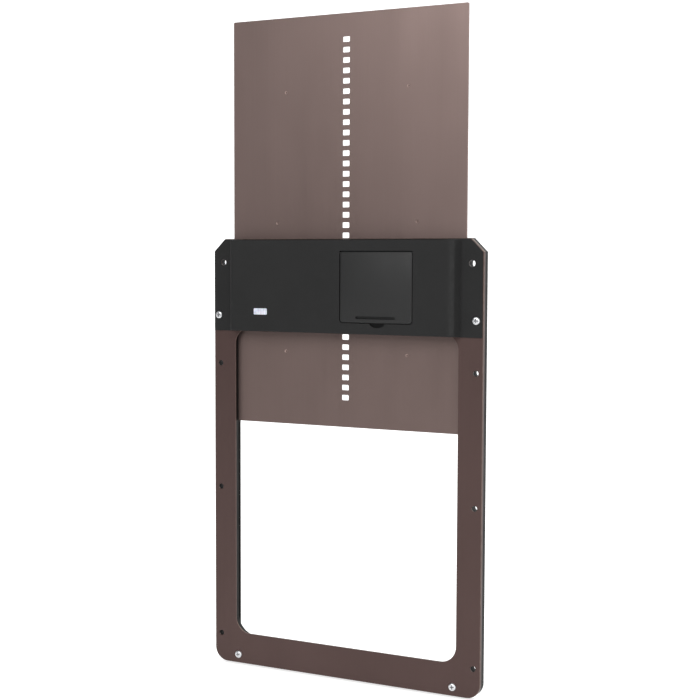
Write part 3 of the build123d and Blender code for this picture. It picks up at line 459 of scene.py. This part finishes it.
# ---- Sensor window ------------------------------------------------------------------------------
# A clouded acrylic plug that spreads daylight onto the sensor behind it.  Its rear face is ribbed, and
# the ribs show through faintly as upright bands.
lens_white, lens_tree, lens_in = new_material("lens_white")
lens_point = add_node(lens_tree, "ShaderNodeSeparateXYZ", Vector=object_point(lens_tree)).outputs
ribs = maths(lens_tree, "SINE", maths(lens_tree, "MULTIPLY", lens_point[0], 2 * math.pi / 0.0017))
cloudy = maths(lens_tree, "MULTIPLY_ADD", ribs, 0.2, noise(lens_tree, 420.0, 3.0))
lens_tone = mapped(lens_tree, cloudy, 0.15, 0.85)
lens_colour = mixed(lens_tree, lens_tone, rgb(170, 174, 188), rgb(214, 217, 226))
lens_tree.links.new(lens_colour, lens_in["Base Color"])
lens_tree.links.new(raised(lens_tree, noise(lens_tree, 900.0, 2.0), 0.00002), lens_in["Normal"])
lens_in["Roughness"].default_value = 0.22
lens_in["Subsurface Weight"].default_value = 0.3
lens_in["Subsurface Scale"].default_value = 0.002
dress(lens_white, "sensor_window")


# ---- Back cover, battery tray and gasket ----------------------------------------------------------
# The plain mouldings inside the header: a cover screwed over the shell's open back, the tray for the
# cells, and a thin rubber gasket round the tray's rim.
inner_black = moulded("inner_black", rgb(40, 40, 41), rgb(62, 62, 62), 0.6, 0.00005, 900.0, 0.3)
dress(inner_black, "housing_back_cover", "battery_tray")
gasket_rubber = moulded("gasket_rubber", rgb(24, 24, 24), rgb(38, 38, 38), 0.85, 0.00002, 2200.0, 0.15)
dress(gasket_rubber, "cover_gasket")


# ---- Battery cells --------------------------------------------------------------------------------
# Four AA cells in printed shrink sleeves, each turned the other way from its neighbour.  The sleeve is
# green with a grey band at its contact end, and stops short of the bare plated ends.
def cell_sleeve(name, low, high, button_up):
    """A sleeve whose colour depends on how far along Z a point lies from the button end, in metres."""
    material, tree, shader = new_material(name)
    height = add_node(tree, "ShaderNodeSeparateXYZ", Vector=object_point(tree)).outputs[2]
    end = high if button_up else low
    along = maths(tree, "ABSOLUTE", maths(tree, "SUBTRACT", height, end))
    print_grain = mapped(tree, noise(tree, 90.0, 4.0), 0.3, 0.7)
    green = mixed(tree, print_grain, rgb(24, 92, 66), rgb(32, 112, 80))
    grey = mixed(tree, print_grain, rgb(168, 172, 174), rgb(188, 191, 192))
    sleeve = mixed(tree, mapped(tree, along, 0.0150, 0.0152), grey, green)
    sleeve = mixed(tree, mapped(tree, along, 0.0146, 0.0148), grey, sleeve)
    bare = maths(tree, "MAXIMUM", mapped(tree, along, 0.0021, 0.0019), mapped(tree, along, 0.0499, 0.0501))
    tree.links.new(mixed(tree, bare, sleeve, rgb(214, 214, 212)), shader["Base Color"])
    tree.links.new(bare, shader["Metallic"])
    wrinkle = noise(tree, 260.0, 3.0, (1, 1, 0.2))
    tree.links.new(mapped(tree, wrinkle, 0.3, 0.7, 0.2, 0.34), shader["Roughness"])
    tree.links.new(raised(tree, wrinkle, 0.00004), shader["Normal"])
    return material


cell_boxes = [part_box(f"battery_cell_{number}") for number in range(1, 5)]
for number, (cell_low, cell_high) in enumerate(cell_boxes, start=1):
    sleeve_print = cell_sleeve(f"cell_sleeve_{number}", cell_low[2], cell_high[2], number % 2 == 1)
    dress(sleeve_print, f"battery_cell_{number}")


# ---- Contact springs ------------------------------------------------------------------------------
# Nickel-plated spring wire, coiled into a cone against the flat end of each cell and staked to the
# contact plates.
def wire_along(path, radius, sides=10):
    """A tube grid round a path of points: each ring lies square to the path's direction, on axes found
    by crossing that direction with a fixed one, and both ends close on one point."""
    ahead = np.gradient(path, axis=0)
    ahead /= np.linalg.norm(ahead, axis=1, keepdims=True)
    side = np.cross(ahead, (0.0, 0.0, 1.0))
    side /= np.linalg.norm(side, axis=1, keepdims=True)
    up = np.cross(side, ahead)
    angle = np.linspace(0, 2 * math.pi, sides, endpoint=False)[None, :, None]
    ring = path[:, None] + radius * (np.cos(angle) * side[:, None] + np.sin(angle) * up[:, None])
    caps = [np.repeat(path[end][None, None], sides, axis=1) for end in (0, -1)]
    return np.concatenate([caps[0], ring, caps[1]])


nickel = plated("nickel_wire", (0.8, 0.79, 0.75, 1), (0.62, 0.6, 0.56, 1), 0.24, 1500.0)
SPRING_WIRE_R = 0.00035
SPRING_TURNS = 4.5
springs_low, springs_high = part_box("contact_springs")
for number, (cell_low, cell_high) in enumerate(cell_boxes, start=1):
    share = np.linspace(0.0, 1.0, 260)
    coil_r = 0.0042 - 0.0012 * share
    swing = 2 * math.pi * SPRING_TURNS * share
    rise = np.interp(share, [0.0, 0.22, 0.8, 1.0], [0.0, 0.06, 0.94, 1.0])
    if number % 2:
        base_z, tip_z = springs_low[2] + SPRING_WIRE_R, cell_low[2] - SPRING_WIRE_R - 0.0001
    else:
        base_z, tip_z = springs_high[2] - SPRING_WIRE_R, cell_high[2] + SPRING_WIRE_R + 0.0001
    coil = np.stack(
        [
            (cell_low[0] + cell_high[0]) / 2 + coil_r * np.cos(swing),
            (cell_low[1] + cell_high[1]) / 2 + coil_r * np.sin(swing),
            base_z + (tip_z - base_z) * rise,
        ],
        -1,
    )
    spring = surface_piece(f"contact_spring_{number}", wire_along(coil, SPRING_WIRE_R), close_columns=True)
    spring.data.materials.append(nickel)
    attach(spring, "frame")
    if number == 1:
        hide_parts("contact_springs")


# ---- Mode button ----------------------------------------------------------------------------------
# A red keycap on a small black push switch, reached when the battery cover is open.
button_red = moulded("button_red", rgb(168, 30, 26), rgb(196, 70, 62), 0.38, 0.00002, 1800.0, 0.4)
dress(button_red, "mode_button")
switch_black = moulded("switch_black", rgb(34, 34, 36), rgb(60, 60, 62), 0.5, 0.00002, 1800.0, 0.3)
dress(switch_black, "mode_switch")


# ---- Controller board -----------------------------------------------------------------------------
# Glass-fibre board under green solder mask, with two chips, a can capacitor and two sockets on its rear
# face, and a light sensor and a red lamp that look out through the window.
board_green, board_tree, board_in = new_material("board_green")
bricks = add_node(
    board_tree, "ShaderNodeTexBrick", {"offset": 0.37, "squash": 1.6, "squash_frequency": 3},
    Vector=add_node(
        board_tree, "ShaderNodeMapping", Vector=object_point(board_tree),
        Rotation=(math.radians(-90), 0, 0),
    ).outputs["Vector"],
    **{"Scale": 130.0, "Mortar Size": 0.035, "Mortar Smooth": 0.05, "Brick Width": 0.9, "Row Height": 0.16},
).outputs["Fac"]
mask_tone = mapped(board_tree, noise(board_tree, 60.0, 4.0), 0.3, 0.7)
mask_green = mixed(board_tree, mask_tone, rgb(12, 66, 40), rgb(18, 82, 50))
traces = mixed(board_tree, bricks, mask_green, rgb(40, 122, 70))
board_tree.links.new(traces, board_in["Base Color"])
board_in["Roughness"].default_value = 0.28
board_tree.links.new(raised(board_tree, bricks, 0.00004), board_in["Normal"])
dress(board_green, "circuit_board")

chip_epoxy = moulded("chip_epoxy", rgb(30, 30, 31), rgb(74, 74, 74), 0.62, 0.00003, 2600.0, 0.3)
dress(chip_epoxy, "control_chip", "motor_driver_chip")
socket_white = moulded("socket_white", rgb(214, 208, 192), rgb(228, 224, 212), 0.42, 0.00001, 1800.0, 0.4)
dress(socket_white, "motor_socket", "battery_socket")

can_sleeve, can_tree, can_in = new_material("can_sleeve")
can_x = add_node(can_tree, "ShaderNodeSeparateXYZ", Vector=object_point(can_tree)).outputs[0]
can_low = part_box("capacitor")[0]
bare_end = mapped(can_tree, can_x, can_low[0] + 0.0004, can_low[0] + 0.0003)
sleeve_tone = mapped(can_tree, noise(can_tree, 160.0, 3.0, (0.3, 1, 1)), 0.3, 0.7)
sleeve_blue = mixed(can_tree, sleeve_tone, rgb(20, 26, 58), rgb(28, 36, 74))
can_tree.links.new(mixed(can_tree, bare_end, sleeve_blue, rgb(205, 205, 206)), can_in["Base Color"])
can_tree.links.new(bare_end, can_in["Metallic"])
can_in["Roughness"].default_value = 0.3
can_tree.links.new(raised(can_tree, noise(can_tree, 500.0, 3.0, (0.3, 1, 1)), 0.00003), can_in["Normal"])
dress(can_sleeve, "capacitor")


def tinted_lamp(name, deep, pale):
    """Cast epoxy lamp: see-through resin with faint cloud and a smooth moulded skin."""
    material, tree, shader = new_material(name)
    cloud = mapped(tree, noise(tree, 700.0, 3.0), 0.3, 0.7)
    tree.links.new(mixed(tree, cloud, deep, pale), shader["Base Color"])
    tree.links.new(mapped(tree, noise(tree, 300.0), 0.3, 0.7, 0.06, 0.14), shader["Roughness"])
    shader["Transmission Weight"].default_value = 0.6
    shader["IOR"].default_value = 1.5
    tree.links.new(raised(tree, cloud, 0.000008), shader["Normal"])
    return material


dress(tinted_lamp("clear_resin", rgb(206, 214, 222), rgb(232, 236, 240)), "light_sensor")
dress(tinted_lamp("red_resin", rgb(170, 18, 14), rgb(214, 40, 32)), "status_led")


# ---- Gearmotor ------------------------------------------------------------------------------------
# Hobbed brass wheels on ground steel pins between two brass plates, driven by a can motor with a
# moulded end cap, all on a plated bracket.
brass = plated("brass_wheel", (0.78, 0.6, 0.3, 1), (0.62, 0.45, 0.2, 1), 0.3)
dress(
    brass, "output_gear", "second_gear", "first_gear", "motor_pinion", "gear_plate_left",
    "gear_plate_right", "gear_posts", "output_bush", "motor_terminals",
)
steel = plated("ground_steel", (0.7, 0.7, 0.71, 1), (0.5, 0.5, 0.52, 1), 0.25)
dress(steel, "motor_shaft", "gear_pin", "output_shaft", "motor_can")
end_cap_black = moulded("end_cap_black", rgb(36, 36, 38), rgb(66, 66, 68), 0.5, 0.00003, 1600.0, 0.3)
dress(end_cap_black, "motor_end_cap")


# ---- Drive sprocket -------------------------------------------------------------------------------
# Machined natural nylon, pressed on the output shaft; it is polished where its teeth rub the panel.
nylon, nylon_tree, nylon_in = new_material("nylon_natural")
nylon_cloud = mapped(nylon_tree, noise(nylon_tree, 120.0, 4.0), 0.3, 0.7)
turning = noise(nylon_tree, 1500.0, 2.0, (4.0, 0.3, 0.3))
nylon_colour = mixed(nylon_tree, nylon_cloud, rgb(206, 200, 182), rgb(226, 222, 208))
nylon_tree.links.new(nylon_colour, nylon_in["Base Color"])
nylon_gloss = mapped(nylon_tree, rounded_edge(nylon_tree), 0.0, 1.0, 0.45, 0.28)
nylon_tree.links.new(nylon_gloss, nylon_in["Roughness"])
nylon_tree.links.new(raised(nylon_tree, turning, 0.00003), nylon_in["Normal"])
nylon_in["Subsurface Weight"].default_value = 0.15
nylon_in["Subsurface Scale"].default_value = 0.001
dress(nylon, "sprocket")


# ---- Leads inside the header ------------------------------------------------------------------------
# Short stranded leads in PVC, crimped into the two sockets; red carries the supply and black returns.
def lead_skin(name, deep, pale):
    """Extruded PVC: slightly wavy skin with a soft shine."""
    material, tree, shader = new_material(name)
    cloud = mapped(tree, noise(tree, 200.0, 3.0), 0.3, 0.7)
    tree.links.new(mixed(tree, cloud, deep, pale), shader["Base Color"])
    tree.links.new(mapped(tree, cloud, 0.0, 1.0, 0.32, 0.46), shader["Roughness"])
    tree.links.new(raised(tree, noise(tree, 600.0, 2.0), 0.00004), shader["Normal"])
    return material


dress(lead_skin("lead_red", rgb(158, 22, 20), rgb(188, 36, 32)), "battery_leads")
dress(lead_skin("lead_black", rgb(26, 26, 27), rgb(38, 38, 40)), "motor_leads")
